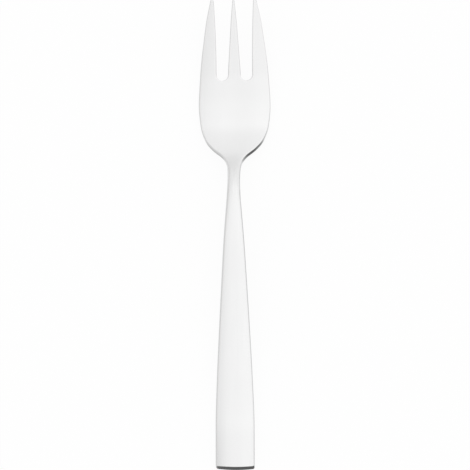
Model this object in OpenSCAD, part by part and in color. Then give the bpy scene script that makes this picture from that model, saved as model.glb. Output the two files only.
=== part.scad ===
// Pastry fork: one forging in polished steel, in its named portions.
// It lies face up on a table at z = 0, with the tines towards +Y.

/* [Handle] */
// Length of the handle, from its square end to the neck
handle_l = 86; // [70:1:110]
// Width of the handle at its square end
handle_w = 11.7; // [9:0.1:15]
// Thickness of the handle at its square end
handle_t = 3.1; // [2.4:0.1:4]
// Radius along the handle's long edges
handle_edge_r = 0.4; // [0.2:0.05:0.9]
// Rise of the handle's face at its square end, from the long edges to the middle
handle_crown = 0.4; // [0:0.05:0.6]
// Length of the stretch by the end that keeps the full width
parallel_l = 13; // [9:0.5:20]
// Length of the flat pad under the end, which rests on the table
pad_l = 9; // [5:0.5:14]
// Radius of the two corners of the square end, seen from above
corner_r = 0.4; // [0.2:0.1:1.5]
// How far the middle of the square end stands out past its corners
end_bow = 0.45; // [0:0.05:0.8]
// Radius along the top and bottom edges of the square end
end_edge_r = 0.15; // [0.1:0.05:0.8]

/* [Neck] */
// Length of the neck, from the handle to the bowl
neck_l = 9; // [6:0.5:14]
// Width of the neck at its slimmest
neck_w = 3.7; // [3.2:0.1:6]
// Thickness of the neck
neck_t = 2.8; // [2.2:0.1:3.4]
// Radius along the neck's edges
neck_edge_r = 0.6; // [0.4:0.05:1]
// Height of the neck's underside above the table
neck_h = 6; // [3:0.1:10]

/* [Bowl] */
// Length of the bowl, from the neck to the bottom of the slots
bowl_l = 30; // [24:0.1:38]
// Width of the bowl at its widest
bowl_w = 21.9; // [18:0.1:28]
// Thickness of the bowl at its lowest point
bowl_t = 1.9; // [1.4:0.1:2.6]
// Radius along the bowl's edges
bowl_edge_r = 0.3; // [0.2:0.05:0.6]
// Depth of the hollow across the bowl, from rim to middle
hollow_d = 0.3; // [0:0.1:1.5]

/* [Tines] */
// Length of the tines, from the bottom of the slots to the tips
tine_l = 25; // [18:0.1:32]
// Thickness of the tines at their tips
tip_t = 1.1; // [0.8:0.1:1.4]
// Height of the underside of the tips above the table
tip_h = 6.6; // [3:0.1:10]
// Radius along the tines' edges
tine_edge_r = 0.2; // [0.15:0.05:0.5]
// Width over all three tines near their tips
tips_w = 14.2; // [11:0.1:18]
// Width of an outer tine near its tip
outer_tip_w = 1.05; // [0.8:0.05:1.8]
// Width of the middle tine near its tip
middle_tip_w = 0.6; // [0.5:0.1:1.6]
// Length of the rounded end of a tine
tip_round_l = 0.6; // [0.3:0.1:1.2]
// Radius of the round bottom of a slot
slot_r = 1.78; // [1:0.02:2]
// Distance from the fork's centre line to the middle of a slot at its bottom
slot_x = 3.72; // [3:0.02:4.6]

/* [Hidden] */

// Places along the fork, from its square end
neck_y = handle_l;
bowl_y = neck_y + neck_l;
slot_y = bowl_y + bowl_l;
fork_l = slot_y + tine_l;
tip_y = fork_l - tip_round_l;

// Half widths
handle_a = handle_w / 2;
neck_a = neck_w / 2;
bowl_a = bowl_w / 2;

// Flare of the handle: shares of the way from the end's parallel stretch to
// the neck, and of the growth from the neck's width to the end's
flare_shares = [
    [0, 1], [0.2, 0.89], [0.4, 0.72], [0.6, 0.525], [0.8, 0.315], [0.93, 0.14], [1, 0.045]
];
// Slimmest point, as a share of the neck's length
waist_share = 0.6;
// Flare of the shoulders: shares of the bowl's length and of the growth from
// the neck's width to the bowl's
shoulder_shares = [
    [0, 0.01], [0.075, 0.055], [0.15, 0.185], [0.25, 0.525], [0.35, 0.765],
    [0.52, 0.94], [0.74, 1]
];
// Outer side of the tines: shares of their length and of the way in from the
// bowl's widest to the tips
taper_shares = [[0, 0.1], [0.24, 0.225], [0.5, 0.435], [0.73, 0.64]];
// Inner side of an outer tine: shares of its length and of the way from the
// slot's wall at its bottom to the tip
inner_shares = [[0, 0], [0.24, 0.03], [0.5, 0.2], [0.73, 0.5]];
// Side of the middle tine, the same way
middle_shares = [[0, 0], [0.1, 0.03], [0.26, 0.18], [0.5, 0.41], [0.75, 0.65]];

// Height of the underside: shares of each portion's length, and of the neck's
// or the tips' height
handle_rise_shares = [[0.3, 0.25], [0.6, 0.585], [0.88, 0.915]];
crest_share = 0.05;
waist_h_share = 0.878;
bowl_fall_shares = [[0, 0.683], [0.09, 0.495], [0.2, 0.286], [0.33, 0.13], [0.48, 0.025]];
belly_share = 0.58;
tine_rise_shares = [[0, 0.2], [0.4, 0.48], [0.75, 0.757]];
// Thickness halfway down the shoulders, as a share of the neck's
shoulder_t_share = 0.95;
shoulder_share = 0.22;
// Where the tines' own edge radius begins, as a share of their length
tine_edge_share = 0.3;
// Depth of the hollow at the tips, as a share of the bowl's
tip_hollow_share = 0.5;
// Roll-off that polishing leaves towards the sides of the upper face, as a share
// of the half width; it grows with this power of the way out from the middle
crown_share = 0.04;
crown_power = 3;
// The same at the neck's slimmest, on the shoulders and at the tips
neck_crown_share = 0.1;
shoulder_crown_share = 0.01;
tip_crown_share = 0.02;
// Where the rise of the handle's face by its end has died away, and where the
// neck's begins, as shares of the way from the parallel stretch to the neck
crown_fade_share = 0.18;
crown_growth_share = 0.8;

// Fineness: steps round an edge and across a face, and rows along a portion
edge_steps = 3;
face_steps = 8;
handle_rows = 34;
neck_rows = 10;
bowl_rows = 32;
tine_rows = 15;
root_rows = 5;
tip_rows = 4;
corner_rows = 3;
turn = 90;

steel = [0.87, 0.87, 0.87];

// A plain mix of two values
function mix(a, b, share) = a + (b - a) * share;

// Slope of the straight step that follows key i
function step_slope(keys, i) =
    (keys[i + 1][1] - keys[i][1]) / (keys[i + 1][0] - keys[i][0]);

// Slope of the smooth curve at key i: level where the steps turn round
function key_slope(keys, i) =
    i == 0 ? step_slope(keys, 0)
    : i == len(keys) - 1 ? step_slope(keys, i - 1)
    : let (before = step_slope(keys, i - 1), after = step_slope(keys, i))
      before * after <= 0 ? 0 : 2 * before * after / (before + after);

// Number of the step that holds place y
function step_at(keys, y, i = 0) =
    i >= len(keys) - 2 || y < keys[i + 1][0] ? i : step_at(keys, y, i + 1);

// Value at place y of the smooth curve through the keys [place, value]
function curve(keys, y) =
    let (
        i = step_at(keys, y),
        span = keys[i + 1][0] - keys[i][0],
        s = min(max((y - keys[i][0]) / span, 0), 1),
        rise = s * s * (3 - 2 * s)
    )
    mix(keys[i][1], keys[i + 1][1], rise)
    + span * s * (1 - s) * ((1 - s) * key_slope(keys, i) - s * key_slope(keys, i + 1));

// Keys from shares: places between y0 and y1, values between a and b
function spread(shares, y0, y1, a, b) =
    [for (share = shares) [mix(y0, y1, share[0]), mix(a, b, share[1])]];

// Outer side of the fork, seen from above
side_keys = concat(
    [[0, handle_a]],
    spread(flare_shares, parallel_l, neck_y, neck_a, handle_a),
    [[mix(neck_y, bowl_y, waist_share), neck_a]],
    spread(shoulder_shares, bowl_y, slot_y, neck_a, bowl_a),
    spread(taper_shares, slot_y, tip_y, bowl_a, tips_w / 2),
    [[tip_y, tips_w / 2]]
);
inner_keys = concat(
    spread(inner_shares, slot_y, tip_y, slot_x + slot_r, tips_w / 2 - outer_tip_w),
    [[tip_y, tips_w / 2 - outer_tip_w]]
);
middle_keys = concat(
    spread(middle_shares, slot_y, tip_y, slot_x - slot_r, middle_tip_w / 2),
    [[tip_y, middle_tip_w / 2]]
);

// Height of the underside, on the fork's centre line
under_keys = concat(
    [[0, 0], [pad_l, 0]],
    spread(handle_rise_shares, pad_l, neck_y, 0, neck_h),
    [[mix(neck_y, bowl_y, crest_share), neck_h]],
    [[mix(neck_y, bowl_y, waist_share), neck_h * waist_h_share]],
    spread(bowl_fall_shares, bowl_y, slot_y, 0, neck_h),
    [[mix(bowl_y, slot_y, belly_share), 0]],
    spread(tine_rise_shares, slot_y, fork_l, 0, tip_h),
    [[fork_l, tip_h]]
);
thickness_keys = [
    [0, handle_t],
    [parallel_l, handle_t],
    [mix(neck_y, bowl_y, waist_share), neck_t],
    [mix(bowl_y, slot_y, shoulder_share), neck_t * shoulder_t_share],
    [mix(bowl_y, slot_y, belly_share), bowl_t],
    [fork_l, tip_t]
];
edge_keys = [
    [0, handle_edge_r],
    [parallel_l, handle_edge_r],
    [mix(neck_y, bowl_y, waist_share), neck_edge_r],
    [mix(bowl_y, slot_y, shoulder_share), bowl_edge_r],
    [slot_y, bowl_edge_r],
    [mix(slot_y, fork_l, tine_edge_share), tine_edge_r],
    [fork_l, tine_edge_r]
];
hollow_keys = [
    [0, 0],
    [bowl_y, 0],
    [mix(bowl_y, slot_y, belly_share), hollow_d],
    [fork_l, hollow_d * tip_hollow_share]
];
crown_keys = [
    [0, handle_crown / handle_a],
    [mix(parallel_l, neck_y, crown_fade_share), crown_share],
    [mix(parallel_l, neck_y, crown_growth_share), crown_share],
    [mix(neck_y, bowl_y, waist_share), neck_crown_share],
    [mix(bowl_y, slot_y, shoulder_share), shoulder_crown_share],
    [mix(bowl_y, slot_y, belly_share), crown_share],
    [slot_y, crown_share],
    [fork_l, tip_crown_share]
];

// Length of the short stretch over which the side's lean is taken
lean_l = 1;
// How much the side leans at place y: sideways travel for each step along
function side_lean(y) =
    (curve(side_keys, y + lean_l / 2) - curve(side_keys, y - lean_l / 2)) / lean_l;

// How far the square end is set back at x, fading out along the pad
function bow(y, x) = end_bow * x * x / handle_a / handle_a * max(0, 1 - y / pad_l);

// One closed section at place y, from x0 to x1, as a ring of points.
// thick_share thins it towards a tip, lean widens the rounding of an edge that
// runs at a slant, and drop takes a little off both faces by the square end.
function section(y, x0, x1, thick_share = 1, lean = 0, drop = 0) =
    let (
        a = (x1 - x0) / 2,
        middle = (x0 + x1) / 2,
        t = curve(thickness_keys, y) * thick_share - 2 * drop,
        r = min(curve(edge_keys, y) * thick_share, t / 2, a),
        rx = min(r * sqrt(1 + lean * lean), a),
        mid_z = curve(under_keys, y) + curve(thickness_keys, y) / 2,
        hollow = curve(hollow_keys, y) / bowl_a / bowl_a,
        side = curve(side_keys, y),
        crown = curve(crown_keys, y) * side,
        right = [
            for (i = [0 : edge_steps])
            [a - rx + rx * sin(i * turn / edge_steps), t / 2 - r + r * cos(i * turn / edge_steps)]
        ],
        left = [for (i = [edge_steps : -1 : 0]) [-right[i][0], right[i][1]]],
        face = [
            for (i = [1 : face_steps - 1])
            [mix(rx - a, a - rx, i / face_steps), t / 2]
        ],
        top = concat(left, face, right),
        last = len(top) - 1,
        outline = concat(
            [for (p = top) [p[0], p[1] - crown * pow(min(abs(middle + p[0]) / side, 1), crown_power)]],
            [for (i = [last : -1 : 0]) [top[i][0], -top[i][1]]]
        )
    )
    [
        for (p = outline)
        let (x = middle + p[0])
        [x, y + bow(y, x), mid_z + p[1] + hollow * x * x]
    ];

// A closed solid through a row of sections with equal numbers of points
module loft(rings) {
    n = len(rings[0]);
    half = n / 2;
    last = (len(rings) - 1) * n;
    sides = [
        for (i = [0 : len(rings) - 2], j = [0 : n - 1])
        let (a = i * n + j, b = i * n + (j + 1) % n)
        each [[a, b, b + n], [a, b + n, a + n]]
    ];
    caps = [
        for (j = [0 : half - 2])
        each [
            [j + 1, j, n - 1 - j, n - 2 - j],
            [last + j, last + j + 1, last + n - 2 - j, last + n - 1 - j]
        ]
    ];
    translate([0, -fork_l / 2, 0])
        polyhedron(points = [for (ring = rings) each ring], faces = concat(sides, caps), convexity = 4);
}

// A section of the whole width at place y
function full_section(y) =
    section(y, -curve(side_keys, y), curve(side_keys, y), lean = side_lean(y));

// A section of the square end, at an angle round its corners
function end_section(angle) =
    let (
        y = corner_r * (1 - cos(angle)),
        a = handle_a - corner_r + corner_r * sin(angle),
        in = min(y / end_edge_r, 1),
        drop = end_edge_r * (1 - sqrt(1 - (1 - in) * (1 - in)))
    )
    section(y, -a, a, drop = drop);

// Places of the rows of a tine: close together round the slot's bottom
root_places = [
    for (i = [0 : root_rows])
    slot_y + slot_r * (1 - cos(i * turn / root_rows))
];
shaft_places = [
    for (i = [1 : tine_rows])
    mix(slot_y + slot_r, tip_y, i / tine_rows)
];
// How far the slot's wall is from the middle of the slot at place y
function slot_reach(y) =
    let (up = max(slot_r - (y - slot_y), 0))
    sqrt(max(slot_r * slot_r - up * up, 0));

// A section of a rounded tip that ends the strip from x0 to x1
function tip_section(x0, x1, angle) =
    let (middle = (x0 + x1) / 2, half = (x1 - x0) / 2 * cos(angle))
    section(tip_y + tip_round_l * sin(angle), middle - half, middle + half, cos(angle));

// The rows of the rounded tip stop just short of a point
tip_turn = 84;
tip_angles = [for (i = [1 : tip_rows]) i * tip_turn / tip_rows];

module middle_tine() {
    color(steel)
        loft(concat(
            [
                for (y = concat(root_places, shaft_places))
                let (a = curve(middle_keys, y) + slot_r - slot_reach(y))
                section(y, -a, a)
            ],
            [for (angle = tip_angles) tip_section(-middle_tip_w / 2, middle_tip_w / 2, angle)]
        ));
}

// The outer tine on the right, which the left one mirrors
module outer_tine() {
    loft(concat(
        [
            for (y = concat(root_places, shaft_places))
            section(y, curve(inner_keys, y) - slot_r + slot_reach(y), curve(side_keys, y))
        ],
        [for (angle = tip_angles) tip_section(tips_w / 2 - outer_tip_w, tips_w / 2, angle)]
    ));
}

module right_tine() {
    color(steel) outer_tine();
}

module left_tine() {
    color(steel) mirror([1, 0, 0]) outer_tine();
}

module bowl() {
    color(steel)
        loft([for (i = [0 : bowl_rows]) full_section(mix(bowl_y, slot_y, i / bowl_rows))]);
}

module neck() {
    color(steel)
        loft([for (i = [0 : neck_rows]) full_section(mix(neck_y, bowl_y, i / neck_rows))]);
}

module handle() {
    color(steel)
        loft(concat(
            [for (i = [0 : corner_rows]) end_section(i * turn / corner_rows)],
            [for (i = [1 : handle_rows]) full_section(mix(corner_r, neck_y, i / handle_rows))]
        ));
}

left_tine();
middle_tine();
right_tine();
bowl();
neck();
handle();
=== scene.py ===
# Looks of the pastry fork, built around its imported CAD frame.
import math

import bpy
import numpy as np
from mathutils import Matrix, Vector


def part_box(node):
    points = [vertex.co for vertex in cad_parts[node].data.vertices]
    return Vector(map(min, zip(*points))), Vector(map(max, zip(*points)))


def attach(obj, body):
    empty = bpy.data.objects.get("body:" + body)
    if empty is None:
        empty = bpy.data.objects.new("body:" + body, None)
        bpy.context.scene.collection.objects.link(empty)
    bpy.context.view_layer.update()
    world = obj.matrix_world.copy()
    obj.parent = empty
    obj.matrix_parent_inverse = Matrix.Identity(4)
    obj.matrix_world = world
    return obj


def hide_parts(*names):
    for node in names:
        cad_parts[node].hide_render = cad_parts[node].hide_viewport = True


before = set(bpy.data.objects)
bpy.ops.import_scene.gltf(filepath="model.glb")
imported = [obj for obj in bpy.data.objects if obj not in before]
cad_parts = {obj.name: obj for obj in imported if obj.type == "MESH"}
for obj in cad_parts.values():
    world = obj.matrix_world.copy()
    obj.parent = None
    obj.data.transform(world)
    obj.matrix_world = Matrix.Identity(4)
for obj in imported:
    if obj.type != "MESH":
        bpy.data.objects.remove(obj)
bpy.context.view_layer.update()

# Units
MM = 0.001

# Places along the fork, in millimetres from its square end, read from the frame
END_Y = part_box("handle")[0].y
NECK_Y = (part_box("neck")[0].y - END_Y) / MM
BOWL_Y = (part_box("bowl")[0].y - END_Y) / MM
SLOT_Y = (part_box("middle_tine")[0].y - END_Y) / MM
FORK_L = (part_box("middle_tine")[1].y - END_Y) / MM

# Widths and thicknesses, in millimetres
HANDLE_A = 5.85
BOWL_A = 10.95
NECK_A = 1.85
HANDLE_T = 3.1
NECK_T = 2.8
BOWL_T = 1.9
TIP_T = 1.1
HANDLE_CROWN = 0.4
CROWN_SHARE = 0.04
NECK_CROWN_SHARE = 0.1
SHOULDER_CROWN_SHARE = 0.01
TIP_CROWN_SHARE = 0.02
HOLLOW_D = 0.3

# Lengths and heights, in millimetres
PARALLEL_L = 13.0
PAD_L = 9.0
NECK_H = 6.0
TIP_H = 6.6
TIP_ROUND_L = 0.6
TIP_Y = FORK_L - TIP_ROUND_L

# Radii, in millimetres
HANDLE_EDGE_R = 0.4
NECK_EDGE_R = 0.6
BOWL_EDGE_R = 0.3
TINE_EDGE_R = 0.2
END_EDGE_R = 0.15
CORNER_R = 0.4
SLOT_R = 1.78

# The square end, the slots and the tips, in millimetres
END_BOW = 0.45
# How far each corner of the end is out of square, as in the photo
END_SKEW = 0.16
SLOT_X = 3.72
TIPS_A = 7.1
OUTER_TIP_W = 1.05
MIDDLE_TIP_A = 0.3

# Shares of lengths and of growth, as in the part's own outline
FLARE_SHARES = [(0, 1), (0.2, 0.89), (0.4, 0.72), (0.6, 0.525), (0.8, 0.315), (0.93, 0.14), (1, 0.045)]
SHOULDER_SHARES = [
    (0, 0.01), (0.075, 0.055), (0.15, 0.185), (0.25, 0.525), (0.35, 0.765), (0.52, 0.94), (0.74, 1)
]
TAPER_SHARES = [(0, 0.1), (0.24, 0.225), (0.5, 0.435), (0.73, 0.64)]
INNER_SHARES = [(0, 0), (0.24, 0.03), (0.5, 0.2), (0.73, 0.5)]
MIDDLE_SHARES = [(0, 0), (0.1, 0.03), (0.26, 0.18), (0.5, 0.41), (0.75, 0.65)]
HANDLE_RISE_SHARES = [(0.3, 0.25), (0.6, 0.585), (0.88, 0.915)]
BOWL_FALL_SHARES = [(0, 0.683), (0.09, 0.495), (0.2, 0.286), (0.33, 0.13), (0.48, 0.025)]
TINE_RISE_SHARES = [(0, 0.2), (0.4, 0.48), (0.75, 0.757)]
WAIST_SHARE = 0.6
CREST_SHARE = 0.05
WAIST_H_SHARE = 0.878
TINE_EDGE_SHARE = 0.3
BELLY_SHARE = 0.58
SHOULDER_SHARE = 0.22
SHOULDER_T_SHARE = 0.95
TIP_HOLLOW_SHARE = 0.5
CROWN_POWER = 3
CROWN_FADE_SHARE = 0.18
CROWN_GROWTH_SHARE = 0.8
# Most of the middle tine's half width that the rounding of its edge may take
MIDDLE_EDGE_SHARE = 0.98

# Stretches along the fork over which the curves are evened out, in millimetres
OUTLINE_WINDOW = 1.5
TINE_WINDOW = 2
PROFILE_WINDOW = 5

# Fineness of the mesh
EDGE_STEPS = 7
OUTER_FACE_STEPS = 14
MIDDLE_FACE_STEPS = 10
ROW_STEP = 0.45
SAMPLE_STEP = 0.05
PLACE_DIGITS = 4
ROOT_ROWS = 12
TIP_STEPS = 10
TIP_TURN = math.radians(87)
QUARTER = math.pi / 2


def mix(a, b, share):
    """A plain mix of two values."""
    return a + (b - a) * share


def spread(shares, y0, y1, a, b):
    """Keys from shares: places between y0 and y1, values between a and b."""
    return [(mix(y0, y1, p), mix(a, b, q)) for p, q in shares]


def key_slopes(keys):
    """Slopes of the smooth curve at its keys, level where its steps turn round."""
    places, values = np.array(keys, float).T
    steps = np.diff(values) / np.diff(places)
    before, after = steps[:-1], steps[1:]
    turning = before * after <= 0
    total = np.where(turning, 1, before + after)
    inner = np.where(turning, 0, 2 * before * after / total)
    return np.concatenate([[steps[0]], inner, [steps[-1]]])


def smooth_curve(keys, window):
    """A function through the keys, evened out over a window of some millimetres."""
    places, values = np.array(keys, float).T
    slopes = key_slopes(keys)
    y = np.arange(places[0], places[-1] + SAMPLE_STEP, SAMPLE_STEP)
    i = np.clip(np.searchsorted(places, y, side="right") - 1, 0, len(places) - 2)
    span = places[i + 1] - places[i]
    s = np.clip((y - places[i]) / span, 0, 1)
    rise = s * s * (3 - 2 * s)
    bend = span * s * (1 - s) * ((1 - s) * slopes[i] - s * slopes[i + 1])
    v = mix(values[i], values[i + 1], rise) + bend
    half = int(window / SAMPLE_STEP / 2)
    if half:
        weights = np.hanning(2 * half + 3)[1:-1]
        padded = np.pad(v, half, mode="reflect", reflect_type="odd")
        v = np.convolve(padded, weights / weights.sum(), mode="valid")
    return lambda place: np.interp(place, y, v)


side = smooth_curve(
    [(0, HANDLE_A)]
    + spread(FLARE_SHARES, PARALLEL_L, NECK_Y, NECK_A, HANDLE_A)
    + [(mix(NECK_Y, BOWL_Y, WAIST_SHARE), NECK_A)]
    + spread(SHOULDER_SHARES, BOWL_Y, SLOT_Y, NECK_A, BOWL_A)
    + spread(TAPER_SHARES, SLOT_Y, TIP_Y, BOWL_A, TIPS_A)
    + [(TIP_Y, TIPS_A)],
    window=OUTLINE_WINDOW,
)
inner_side = smooth_curve(
    spread(INNER_SHARES, SLOT_Y, TIP_Y, SLOT_X + SLOT_R, TIPS_A - OUTER_TIP_W)
    + [(TIP_Y, TIPS_A - OUTER_TIP_W)],
    window=TINE_WINDOW,
)
middle_side = smooth_curve(
    spread(MIDDLE_SHARES, SLOT_Y, TIP_Y, SLOT_X - SLOT_R, MIDDLE_TIP_A) + [(TIP_Y, MIDDLE_TIP_A)],
    window=TINE_WINDOW,
)
underside = smooth_curve(
    [(0, 0), (PAD_L, 0)]
    + spread(HANDLE_RISE_SHARES, PAD_L, NECK_Y, 0, NECK_H)
    + [(mix(NECK_Y, BOWL_Y, CREST_SHARE), NECK_H)]
    + [(mix(NECK_Y, BOWL_Y, WAIST_SHARE), NECK_H * WAIST_H_SHARE)]
    + spread(BOWL_FALL_SHARES, BOWL_Y, SLOT_Y, 0, NECK_H)
    + [(mix(BOWL_Y, SLOT_Y, BELLY_SHARE), 0)]
    + spread(TINE_RISE_SHARES, SLOT_Y, FORK_L, 0, TIP_H)
    + [(FORK_L, TIP_H)],
    window=PROFILE_WINDOW,
)
thickness = smooth_curve(
    [
        (0, HANDLE_T),
        (PARALLEL_L, HANDLE_T),
        (mix(NECK_Y, BOWL_Y, WAIST_SHARE), NECK_T),
        (mix(BOWL_Y, SLOT_Y, SHOULDER_SHARE), NECK_T * SHOULDER_T_SHARE),
        (mix(BOWL_Y, SLOT_Y, BELLY_SHARE), BOWL_T),
        (FORK_L, TIP_T),
    ],
    window=PROFILE_WINDOW,
)
edge_radius = smooth_curve(
    [
        (0, HANDLE_EDGE_R),
        (PARALLEL_L, HANDLE_EDGE_R),
        (mix(NECK_Y, BOWL_Y, WAIST_SHARE), NECK_EDGE_R),
        (mix(BOWL_Y, SLOT_Y, SHOULDER_SHARE), BOWL_EDGE_R),
        (SLOT_Y, BOWL_EDGE_R),
        (mix(SLOT_Y, FORK_L, TINE_EDGE_SHARE), TINE_EDGE_R),
        (FORK_L, TINE_EDGE_R),
    ],
    window=PROFILE_WINDOW,
)
hollow_depth = smooth_curve(
    [
        (0, 0),
        (BOWL_Y, 0),
        (mix(BOWL_Y, SLOT_Y, BELLY_SHARE), HOLLOW_D),
        (FORK_L, HOLLOW_D * TIP_HOLLOW_SHARE),
    ],
    window=PROFILE_WINDOW,
)
# Roll-off of the polished face towards its sides, as a share of the half width
crown_share = smooth_curve(
    [
        (0, HANDLE_CROWN / HANDLE_A),
        (mix(PARALLEL_L, NECK_Y, CROWN_FADE_SHARE), CROWN_SHARE),
        (mix(PARALLEL_L, NECK_Y, CROWN_GROWTH_SHARE), CROWN_SHARE),
        (mix(NECK_Y, BOWL_Y, WAIST_SHARE), NECK_CROWN_SHARE),
        (mix(BOWL_Y, SLOT_Y, SHOULDER_SHARE), SHOULDER_CROWN_SHARE),
        (mix(BOWL_Y, SLOT_Y, BELLY_SHARE), CROWN_SHARE),
        (SLOT_Y, CROWN_SHARE),
        (FORK_L, TIP_CROWN_SHARE),
    ],
    window=PROFILE_WINDOW,
)


def lean(outline, y):
    """Sideways travel of an outline for each step along, at place y."""
    return (outline(y + SAMPLE_STEP) - outline(y - SAMPLE_STEP)) / (2 * SAMPLE_STEP)


def slot_drop(x, y, radius):
    """How far both faces draw in at a point near the round bottom of a slot."""
    far = np.hypot(np.abs(x) - SLOT_X, y - (SLOT_Y + SLOT_R)) - SLOT_R
    into = np.clip(1 - far / radius, 0, 1)
    return radius * (1 - np.sqrt(1 - into * into))


def faces_at(x, y, round_drop, end_drop=0.0):
    """Points of the upper and the lower face at x, on the section at place y."""
    t = thickness(y)
    half = t / 2 - end_drop - round_drop
    middle = underside(y) + t / 2 + hollow_depth(y) * x * x / BOWL_A**2
    a = float(side(y))
    crown = crown_share(y) * a * np.minimum(np.abs(x) / a, 1) ** CROWN_POWER
    # The slant of the square end moves the middle of its bow to one side
    out = x / HANDLE_A - END_SKEW / END_BOW / 2
    bow = END_BOW * out * out * max(0, 1 - y / PAD_L)
    place = np.full_like(x, y) + bow
    top = np.stack([x, place, middle + half - crown], axis=1)
    bottom = np.stack([x, place, middle - half], axis=1)
    return top, bottom


EDGE_ANGLES = np.linspace(QUARTER, 0, EDGE_STEPS + 1)
# Across an edge: how far in from the side, and how far down, for a radius of 1
EDGE_IN = 1 - np.sin(EDGE_ANGLES)
EDGE_DOWN = 1 - np.cos(EDGE_ANGLES)


def strip_columns(x0, x1, reach0, reach1, face_steps):
    """Places across a strip: a rounded edge, the face and the other edge."""
    inner = np.linspace(x0 + reach0, x1 - reach1, face_steps + 1)[1:-1]
    return np.concatenate([x0 + reach0 * EDGE_IN, inner, (x1 - reach1 * EDGE_IN)[::-1]])


def strip_drops(radius, count):
    """How far the faces draw in at each column of a strip, by its two edges."""
    flat = np.zeros(count - 2 * len(EDGE_DOWN))
    return np.concatenate([radius * EDGE_DOWN, flat, radius * EDGE_DOWN[::-1]])


def slot_reach(y, radius):
    """Half width of a slot at place y by its round bottom, and of its rounded edge."""
    up = max(SLOT_R - (y - SLOT_Y), 0)
    wall = math.sqrt(max(SLOT_R**2 - up**2, 0))
    edge = math.sqrt((SLOT_R + radius) ** 2 - up**2) - wall
    return wall, edge


def root_columns():
    """Columns of the three strips on the plane where the tines leave the bowl."""
    radius = float(edge_radius(SLOT_Y))
    a = float(side(SLOT_Y))
    rx = radius * math.sqrt(1 + lean(side, SLOT_Y) ** 2)
    edge = slot_reach(SLOT_Y, radius)[1]
    left = strip_columns(-a, -SLOT_X, rx, edge, OUTER_FACE_STEPS)
    middle = strip_columns(-SLOT_X, SLOT_X, edge, edge, MIDDLE_FACE_STEPS)
    right = -left[::-1]
    return left, middle, right, a, rx


LEFT_ROOT, MIDDLE_ROOT, RIGHT_ROOT, ROOT_A, ROOT_RX = root_columns()
ALL_ROOT = np.concatenate([LEFT_ROOT, MIDDLE_ROOT[1:], RIGHT_ROOT[1:]])
COLUMN_SHARES = ALL_ROOT[EDGE_STEPS:-EDGE_STEPS] / (ROOT_A - ROOT_RX)


def body_row(y, inset=0.0, end_drop=0.0):
    """Points of the handle, neck or bowl on one section: upper and lower face."""
    radius = min(float(edge_radius(y)), float(thickness(y)) / 2 - end_drop - SAMPLE_STEP)
    a = float(side(y)) - inset
    rx = radius * math.sqrt(1 + lean(side, max(y, SAMPLE_STEP)) ** 2)
    rx = min(rx, a)
    edge = (a - rx * EDGE_IN)[:-1]
    x = np.concatenate([-edge, COLUMN_SHARES * (a - rx), edge[::-1]])
    drop = radius * EDGE_DOWN[:-1]
    drops = np.concatenate([drop, np.zeros(len(COLUMN_SHARES)), drop[::-1]])
    drops = np.maximum(drops, slot_drop(x, y, float(edge_radius(SLOT_Y))))
    return faces_at(x, y, drops, end_drop)


def body_places():
    """Rows from the square end to the bottom of the slots, and where portions start."""
    angles = np.linspace(0, QUARTER, EDGE_STEPS + 2)
    corner = CORNER_R * (1 - np.cos(angles))
    fillet = END_EDGE_R * (1 - np.sin(np.linspace(QUARTER, 0, EDGE_STEPS)))
    start = np.unique(np.round(np.concatenate([corner, fillet]), PLACE_DIGITS))
    radius = float(edge_radius(SLOT_Y))
    last = SLOT_Y - radius * EDGE_IN[::-1]
    parts = [
        start,
        np.linspace(CORNER_R, NECK_Y, int((NECK_Y - CORNER_R) / ROW_STEP))[1:],
        np.linspace(NECK_Y, BOWL_Y, int((BOWL_Y - NECK_Y) / ROW_STEP))[1:],
        np.linspace(BOWL_Y, last[0], int((last[0] - BOWL_Y) / ROW_STEP))[1:],
        last[1:],
    ]
    ends = np.cumsum([len(p) for p in parts])
    return np.concatenate(parts), ends[1] - 1, ends[2] - 1


def body_grid():
    """All rows of the handle, neck and bowl, as grids of points of both faces."""
    rows = []
    places, neck_row, bowl_row = body_places()
    for y in places:
        inset = 0.0
        if y < CORNER_R:
            inset = CORNER_R - math.sqrt(CORNER_R**2 - (CORNER_R - y) ** 2)
        near = min(y / END_EDGE_R, 1)
        end_drop = END_EDGE_R * (1 - math.sqrt(1 - (1 - near) ** 2))
        rows.append(body_row(y, inset, end_drop))
    return np.array(rows), neck_row, bowl_row


# Rows of a tine round the bottom of its slot
ROOT_PLACES = SLOT_Y + SLOT_R * (1 - np.cos(np.linspace(0, QUARTER, ROOT_ROWS)))


def tine_span(name, y, radius):
    """Both sides of a tine at place y, and how far in the rounding of each reaches."""
    wall, edge = slot_reach(y, radius) if y < ROOT_PLACES[-1] else (SLOT_R, radius)
    if name == "middle_tine":
        x1 = float(middle_side(y)) + SLOT_R - wall
        return -x1, x1, edge, edge
    x0 = float(inner_side(y)) - SLOT_R + wall
    return x0, float(side(y)), edge, radius * math.sqrt(1 + lean(side, y) ** 2)


def tine_row(name, y):
    """Points of the middle or right tine on one section: upper and lower face."""
    is_middle = name == "middle_tine"
    face_steps = MIDDLE_FACE_STEPS if is_middle else OUTER_FACE_STEPS
    radius = min(float(edge_radius(y)), float(middle_side(y)) * MIDDLE_EDGE_SHARE)
    x = strip_columns(*tine_span(name, y, radius), face_steps)
    drops = strip_drops(radius, len(x))
    if y < ROOT_PLACES[-1]:
        near = slot_drop(x, y, radius)
        by_outer = np.arange(len(x)) >= len(x) // 2
        drops = near if is_middle else np.where(by_outer, drops, near)
    return faces_at(x, y, drops)


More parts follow.
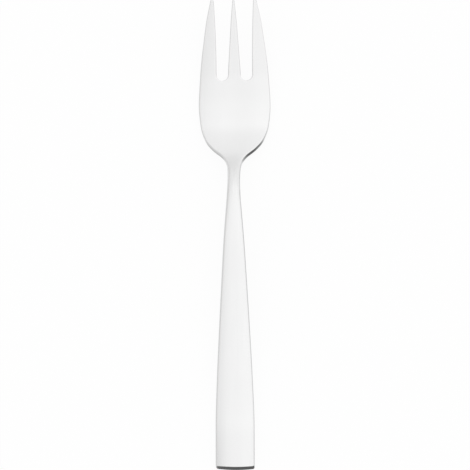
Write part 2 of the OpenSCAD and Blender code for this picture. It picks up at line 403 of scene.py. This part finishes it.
def tip_row(base, turn):
    """The last full row of a tine, moved along and drawn in round its tip."""
    shrink = math.cos(turn)
    y = TIP_Y + TIP_ROUND_L * math.sin(turn)
    top, bottom = base
    middle_x = (top[0, 0] + top[-1, 0]) / 2
    middle_z = (top[:, 2] + bottom[:, 2]) / 2
    rise = underside(y) + thickness(y) / 2 - underside(TIP_Y) - thickness(TIP_Y) / 2
    row = []
    for face in base:
        points = face.copy()
        points[:, 0] = middle_x + (face[:, 0] - middle_x) * shrink
        points[:, 1] = y
        points[:, 2] = middle_z + rise + (face[:, 2] - middle_z) * shrink
        row.append(points)
    return tuple(row)


def tine_grid(name):
    """Rows of one tine from its root to its tip, as grids of both faces."""
    first = ROOT_PLACES[-1]
    shaft = np.linspace(first, TIP_Y, int((TIP_Y - first) / ROW_STEP))[1:]
    rows = [tine_row(name, y) for y in np.concatenate([ROOT_PLACES, shaft])]
    turns = np.linspace(0, TIP_TURN, TIP_STEPS + 1)[1:]
    grid = np.array(rows + [tip_row(rows[-1], turn) for turn in turns])
    if name == "left_tine":
        grid = grid[:, :, ::-1, :].copy()
        grid[..., 0] *= -1
    return grid


def cut_faces(row, forward):
    """Flat faces across one row, which look along the fork or back."""
    top, bottom = row
    quads = []
    for j in range(len(top) - 1):
        corners = [int(c) for c in (bottom[j], bottom[j + 1], top[j + 1], top[j])]
        quads.append(corners[::-1] if forward else corners)
    return quads


class Surface:
    """The whole polished skin as one mesh, with the portion of each face."""

    def __init__(self):
        self.points = []
        self.faces = []
        self.portions = []
        self.caps = {}

    def add_points(self, rows):
        """Numbers of new points for a grid of rows, two faces and columns."""
        flat = rows.reshape(-1, 3)
        start = len(self.points)
        self.points.extend(flat)
        return (start + np.arange(len(flat))).reshape(rows.shape[:-1])

    def add_face(self, portion, *corners):
        """One face of a portion, by the numbers of its corners."""
        self.faces.append([int(c) for c in corners])
        self.portions.append(portion)

    def skin(self, portion, ids):
        """Upper face, lower face and both side walls between the rows of a grid."""
        for lower, upper in zip(ids[:-1], ids[1:]):
            top0, bottom0 = lower
            top1, bottom1 = upper
            for j in range(len(top0) - 1):
                self.add_face(portion, top0[j], top0[j + 1], top1[j + 1], top1[j])
                self.add_face(portion, bottom0[j + 1], bottom0[j], bottom1[j], bottom1[j + 1])
            self.add_face(portion, bottom0[0], top0[0], top1[0], bottom1[0])
            self.add_face(portion, top0[-1], bottom0[-1], bottom1[-1], top1[-1])

    def end(self, portion, row, forward):
        """Closes a strip across its first or last row."""
        for corners in cut_faces(row, forward):
            self.add_face(portion, *corners)

    def seam(self, portion, row, forward):
        """Remembers the flat cut between two portions, which closes each of them."""
        sign = 1.0 if forward else -1.0
        self.caps.setdefault(portion, []).append((cut_faces(row, forward), sign))


def build_surface():
    """The fork's whole skin, welded where the portions meet."""
    surface = Surface()
    grid, neck_row, bowl_row = body_grid()
    ids = surface.add_points(grid)
    surface.end("handle", ids[0], forward=False)
    surface.skin("handle", ids[: neck_row + 1])
    surface.skin("neck", ids[neck_row : bowl_row + 1])
    surface.skin("bowl", ids[bowl_row:])
    surface.seam("handle", ids[neck_row], forward=True)
    surface.seam("neck", ids[neck_row], forward=False)
    surface.seam("neck", ids[bowl_row], forward=True)
    surface.seam("bowl", ids[bowl_row], forward=False)
    surface.seam("bowl", ids[-1], forward=True)
    first_slot = len(LEFT_ROOT) - 1
    second_slot = first_slot + len(MIDDLE_ROOT) - 1
    cuts = {
        "left_tine": (0, first_slot),
        "middle_tine": (first_slot, second_slot),
        "right_tine": (second_slot, len(ALL_ROOT) - 1),
    }
    for name, (start, stop) in cuts.items():
        tine = tine_grid(name)
        new = surface.add_points(tine[1:])
        root = ids[-1][:, start : stop + 1]
        strip = [root] + list(new)
        surface.skin(name, strip)
        surface.end(name, strip[-1], forward=True)
        surface.seam(name, root, forward=False)
    return surface


def make_portions():
    """One closed mesh for each portion, shaded as parts of one continuous skin."""
    surface = build_surface()
    points = np.array(surface.points)
    points[:, 1] += END_Y / MM
    points *= MM
    whole = bpy.data.meshes.new("whole_skin")
    whole.from_pydata(points.tolist(), [], surface.faces)
    whole.update()
    normals = np.zeros(len(points) * 3, np.float32)
    whole.vertex_normals.foreach_get("vector", normals)
    normals = normals.reshape(-1, 3)
    bpy.data.meshes.remove(whole)
    portions = np.array(surface.portions)
    made = {}
    for name in ("handle", "neck", "bowl", "left_tine", "middle_tine", "right_tine"):
        faces = [surface.faces[i] for i in np.nonzero(portions == name)[0]]
        shades = [normals[c] for face in faces for c in face]
        for quads, sign in surface.caps[name]:
            faces += quads
            shades += [(0, sign, 0)] * (4 * len(quads))
        used = sorted({c for face in faces for c in face})
        place = {c: i for i, c in enumerate(used)}
        mesh = bpy.data.meshes.new(name + "_steel")
        mesh.from_pydata(points[used].tolist(), [], [[place[c] for c in face] for face in faces])
        mesh.polygons.foreach_set("use_smooth", [True] * len(faces))
        mesh.update()
        mesh.normals_split_custom_set([tuple(float(v) for v in n) for n in shades])
        piece = bpy.data.objects.new(name + "_steel", mesh)
        bpy.context.scene.collection.objects.link(piece)
        made[name] = piece
    return made


# The steel: its shine, and how much painted shade darkens its colour on the neck and by the square
# end, standing in for darker reflections there
SHINE = 0.865
NECK_PAINTED_SHADE = 0.04
END_PAINTED_SHADE = 0.02
# Distances in metres, from the middle of the neck and from the square end, at
# which the painted shade begins to fade and has faded out
NECK_SHADE_FADE = (0.001, 0.0085)
END_SHADE_FADE = (0.008, 0.015)
# How much the lines of polishing show in the shine, and how much more by the neck
LINES_SHOW = 0.03
NECK_LINES_SHOW = 0.1
# Fineness of the lines and of the haze, per metre across, along and up
FINE_LINES = (9000, 120, 2500)
WIDE_LINES = (2600, 45, 900)
HAZE = (160, 160, 160)
# Detail of the noise that makes each of them, and the middle of its values
FINE_DETAIL = 3
WIDE_DETAIL = 2
HAZE_DETAIL = 4
NOISE_MIDDLE = 0.5
# The sum of fine lines and haze, and the roughness that it becomes
ROUGH_SOURCE = (0.6, 1.4)
ROUGHNESS = (0.13, 0.2)
# The lines' relief: how much it shows, and its height in metres
RELIEF_STRENGTH = 0.05
RELIEF_HEIGHT = 0.00002


def math_node(tree, operation, *values):
    """The result of a maths node on numbers and on other nodes' values."""
    node = tree.nodes.new("ShaderNodeMath")
    node.operation = operation
    for socket, value in zip(node.inputs, values):
        if isinstance(value, (int, float)):
            socket.default_value = value
        else:
            tree.links.new(value, socket)
    return node.outputs["Value"]


def range_node(tree, value, source, target, kind="LINEAR"):
    """A value carried from the range source to the range target."""
    node = tree.nodes.new("ShaderNodeMapRange")
    node.interpolation_type = kind
    node.inputs["From Min"].default_value, node.inputs["From Max"].default_value = source
    node.inputs["To Min"].default_value, node.inputs["To Max"].default_value = target
    tree.links.new(value, node.inputs["Value"])
    return node.outputs["Result"]


def noise_node(tree, place, fineness, detail):
    """Smooth noise that is as fine as given in each direction."""
    stretch = tree.nodes.new("ShaderNodeMapping")
    stretch.inputs["Scale"].default_value = fineness
    tree.links.new(place, stretch.inputs["Vector"])
    noise = tree.nodes.new("ShaderNodeTexNoise")
    noise.inputs["Scale"].default_value = 1.0
    noise.inputs["Detail"].default_value = detail
    tree.links.new(stretch.outputs["Vector"], noise.inputs["Vector"])
    return noise.outputs["Fac"]


def polished_steel():
    """Mirror-polished stainless steel with faint lines along the fork, and painted shade that darkens
    it on the neck and by the square end.
    """
    material = bpy.data.materials.new("polished_steel")
    material.use_nodes = True
    tree = material.node_tree
    shader = tree.nodes["Principled BSDF"]
    shader.inputs["Metallic"].default_value = 1.0
    place = tree.nodes.new("ShaderNodeTexCoord").outputs["Object"]
    axes = tree.nodes.new("ShaderNodeSeparateXYZ")
    tree.links.new(place, axes.inputs["Vector"])
    along = axes.outputs["Y"]
    neck_middle = (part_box("neck")[0].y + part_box("neck")[1].y) / 2
    from_neck = math_node(tree, "ABSOLUTE", math_node(tree, "SUBTRACT", along, neck_middle))
    # Mask near the middle of the neck: it places the painted shade there, and the stronger polishing
    # lines
    neck = range_node(tree, from_neck, NECK_SHADE_FADE, (1, 0), "SMOOTHSTEP")
    # Mask by the square end, which places the painted shade there
    end = range_node(tree, math_node(tree, "SUBTRACT", along, END_Y), END_SHADE_FADE, (1, 0), "SMOOTHSTEP")
    # Painted shade: the colour is darkened on the neck, standing in for the darker reflections there
    shine_with_painted_shade = math_node(tree, "MULTIPLY_ADD", neck, -NECK_PAINTED_SHADE, SHINE)
    # Painted shade: the colour is darkened by the square end, standing in for the darker reflections
    # there
    shine_with_painted_shade = math_node(tree, "MULTIPLY_ADD", end, -END_PAINTED_SHADE, shine_with_painted_shade)
    wide = noise_node(tree, place, WIDE_LINES, WIDE_DETAIL)
    wide = math_node(tree, "SUBTRACT", wide, NOISE_MIDDLE)
    show = math_node(tree, "MULTIPLY_ADD", neck, NECK_LINES_SHOW, LINES_SHOW)
    shine_with_painted_shade = math_node(tree, "MULTIPLY_ADD", wide, show, shine_with_painted_shade)
    tree.links.new(shine_with_painted_shade, shader.inputs["Base Color"])
    fine = noise_node(tree, place, FINE_LINES, FINE_DETAIL)
    haze = noise_node(tree, place, HAZE, HAZE_DETAIL)
    rough = range_node(tree, math_node(tree, "ADD", fine, haze), ROUGH_SOURCE, ROUGHNESS)
    tree.links.new(rough, shader.inputs["Roughness"])
    bump = tree.nodes.new("ShaderNodeBump")
    bump.inputs["Strength"].default_value = RELIEF_STRENGTH
    bump.inputs["Distance"].default_value = RELIEF_HEIGHT
    tree.links.new(fine, bump.inputs["Height"])
    tree.links.new(bump.outputs["Normal"], shader.inputs["Normal"])
    return material


WHITE = (1, 1, 1, 1)
# The floor: its width in metres, its colour, and the share of plain white that the
# camera sees over its shadows
FLOOR_SIZE = 6
FLOOR_COLOR = (0.9, 0.9, 0.9, 1)
FLOOR_GLOW = 0.93


def floor():
    """A plain white floor that keeps the fork's soft shadow."""
    bpy.ops.mesh.primitive_plane_add(size=FLOOR_SIZE, location=(0, 0, 0))
    plane = bpy.context.object
    plane.name = "floor"
    material = bpy.data.materials.new("white_floor")
    material.use_nodes = True
    tree = material.node_tree
    nodes = tree.nodes
    links = tree.links
    nodes.clear()
    output = nodes.new("ShaderNodeOutputMaterial")
    matt = nodes.new("ShaderNodeBsdfDiffuse")
    matt.inputs["Color"].default_value = FLOOR_COLOR
    glow = nodes.new("ShaderNodeEmission")
    glow.inputs["Color"].default_value = WHITE
    path = nodes.new("ShaderNodeLightPath")
    share = math_node(tree, "MULTIPLY", path.outputs["Is Camera Ray"], FLOOR_GLOW)
    blend = nodes.new("ShaderNodeMixShader")
    links.new(share, blend.inputs["Fac"])
    links.new(matt.outputs["BSDF"], blend.inputs[1])
    links.new(glow.outputs["Emission"], blend.inputs[2])
    links.new(blend.outputs["Shader"], output.inputs["Surface"])
    plane.data.materials.append(material)
    plane.visible_glossy = False


# Brightness of the tent by direction: to the sides (-1 left, 1 right)
TENT_SIDES = [
    (-1, 0.6), (-0.7, 0.72), (-0.4, 0.74), (-0.33, 0.77), (-0.29, 0.81), (-0.25, 0.845),
    (-0.18, 0.88), (-0.13, 0.93), (-0.08, 0.955), (-0.045, 0.98), (-0.02, 0.99), (0, 0.998),
    (0.05, 1), (0.16, 1), (0.3, 0.96), (0.6, 0.94), (0.88, 1), (1, 0.45)
]
# Along the fork (-1 towards the viewer, 1 away past the tines)
TENT_ALONG = [
    (-1, 0.35), (-0.93, 0.6), (-0.8, 0.9), (-0.65, 1.05), (-0.5, 1.05), (-0.28, 0.95),
    (0.09, 0.95), (0.13, 0.967), (0.17, 0.995), (0.21, 1.003), (0.34, 0.997), (0.45, 1.01),
    (0.57, 1.015), (0.66, 0.975), (0.77, 0.93), (0.87, 0.89), (0.91, 0.83), (0.945, 0.77),
    (0.97, 0.95), (1, 1.1)
]
# Below the horizon, along the fork
UNDER_ALONG = [
    (-1, 0.11), (-0.08, 0.12), (0.08, 0.35), (0.16, 0.5), (0.24, 0.8), (0.3, 0.8),
    (0.37, 0.57), (0.46, 0.95), (1, 0.95)
]
# Below the horizon, to the sides: lighter to the left and at the far right
UNDER_SIDES = [
    (-1, 0.8), (-0.6, 0.78), (-0.42, 0.65), (-0.3, 0.55), (-0.15, 0.1), (0.8, 0.1),
    (0.9, 0.7), (1, 0.8)
]
# Something dark and low stands off to the right, on the viewer's side: how far
# it lifts the horizon, by the two directions
LIFT_SIDES = [(-1, 0), (0.3, 0), (0.5, 1), (0.8, 1), (0.9, 0), (1, 0)]
LIFT_ALONG = [(-1, 0), (-0.8, 0), (-0.68, 0.55), (-0.35, 0.55), (-0.1, 0.1), (0.05, 0), (1, 0)]
# Blend from below the horizon to above it, by height
HORIZON = [(-1, 0), (-0.05, 0), (0.2, 1), (1, 1)]
TENT_STRENGTH = 1.08
# A direction from -1 to 1 is halved and moved up by a half, to a ramp's 0 to 1
HALF = 0.5


def ramp_node(tree, source, keys):
    """Brightness by a direction between -1 and 1, in straight lines between keys."""
    node = tree.nodes.new("ShaderNodeValToRGB")
    node.color_ramp.interpolation = "LINEAR"
    stops = node.color_ramp.elements
    for _ in keys[2:]:
        stops.new(HALF)
    for stop, (place, value) in zip(stops, keys):
        stop.position = place * HALF + HALF
        stop.color = (value, value, value, 1)
    tree.links.new(math_node(tree, "MULTIPLY_ADD", source, HALF, HALF), node.inputs["Fac"])
    return node.outputs["Color"]


def tent_value(tree, directions, side_keys, along_keys, operation):
    """Two ramps, one to the sides and one along the fork, put together."""
    across = ramp_node(tree, directions["X"], side_keys)
    along = ramp_node(tree, directions["Y"], along_keys)
    return math_node(tree, operation, across, along)


def light_tent():
    """White surroundings to the camera; in the steel they dim towards the horizon."""
    world = bpy.data.worlds.new("light_tent")
    bpy.context.scene.world = world
    world.use_nodes = True
    tree = world.node_tree
    nodes = tree.nodes
    links = tree.links
    nodes.clear()
    place = nodes.new("ShaderNodeTexCoord")
    axes = nodes.new("ShaderNodeSeparateXYZ")
    links.new(place.outputs["Generated"], axes.inputs["Vector"])
    above = tent_value(tree, axes.outputs, TENT_SIDES, TENT_ALONG, "MULTIPLY")
    above = math_node(tree, "MULTIPLY", above, TENT_STRENGTH)
    under = tent_value(tree, axes.outputs, UNDER_SIDES, UNDER_ALONG, "MAXIMUM")
    lift = tent_value(tree, axes.outputs, LIFT_SIDES, LIFT_ALONG, "MULTIPLY")
    level = ramp_node(tree, math_node(tree, "SUBTRACT", axes.outputs["Z"], lift), HORIZON)
    blend = nodes.new("ShaderNodeMix")
    blend.data_type = "FLOAT"
    # Of a mix of plain numbers, socket 0 is the share, 2 and 3 are the two values
    links.new(level, blend.inputs[0])
    links.new(under, blend.inputs[2])
    links.new(above, blend.inputs[3])
    tent = nodes.new("ShaderNodeBackground")
    links.new(blend.outputs[0], tent.inputs["Color"])
    white = nodes.new("ShaderNodeBackground")
    white.inputs["Color"].default_value = WHITE
    path = nodes.new("ShaderNodeLightPath")
    choice = nodes.new("ShaderNodeMixShader")
    links.new(path.outputs["Is Glossy Ray"], choice.inputs["Fac"])
    links.new(white.outputs["Background"], choice.inputs[1])
    links.new(tent.outputs["Background"], choice.inputs[2])
    output = nodes.new("ShaderNodeOutputWorld")
    links.new(choice.outputs["Shader"], output.inputs["Surface"])


# The camera: a long lens, tilted back from straight down and a little to the right
CAMERA_TILT = math.radians(20)
CAMERA_SIDE = math.radians(3)
CAMERA_ROLL = math.radians(-0.1)
# Distances in metres: to the fork, and how far the camera sees
CAMERA_DISTANCE = 3.0
CAMERA_REACH = 20
PIXELS_PER_MM = 3.286
FRAME_PIXELS = 470
SENSOR_MM = 36
# The point of the fork's centre line that the camera looks at
AIM = Vector((0.0002, -0.00082, 0.004))


def camera():
    """The photograph's viewpoint, framed on its 470 by 470 pixels."""
    data = bpy.data.cameras.new("camera")
    data.sensor_width = SENSOR_MM
    data.lens = SENSOR_MM * CAMERA_DISTANCE / MM / (FRAME_PIXELS / PIXELS_PER_MM)
    data.clip_end = CAMERA_REACH
    view = bpy.data.objects.new("camera", data)
    bpy.context.scene.collection.objects.link(view)
    back = Vector((
        math.sin(CAMERA_SIDE),
        -math.cos(CAMERA_SIDE) * math.sin(CAMERA_TILT),
        math.cos(CAMERA_SIDE) * math.cos(CAMERA_TILT),
    ))
    along = Vector((0, 1, 0))
    up = (along - back * along.dot(back)).normalized()
    right = up.cross(back).normalized()
    turn = Matrix.Rotation(CAMERA_ROLL, 3, "Z")
    view.matrix_world = Matrix.Translation(AIM + back * CAMERA_DISTANCE) @ (
        Matrix((right, up, back)).transposed() @ turn
    ).to_4x4()
    bpy.context.scene.camera = view


camera()
light_tent()
floor()
steel = polished_steel()
for node, piece in make_portions().items():
    piece.data.materials.append(steel)
    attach(piece, "root")
    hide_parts(node)

bpy.context.scene.view_settings.view_transform = "Standard"
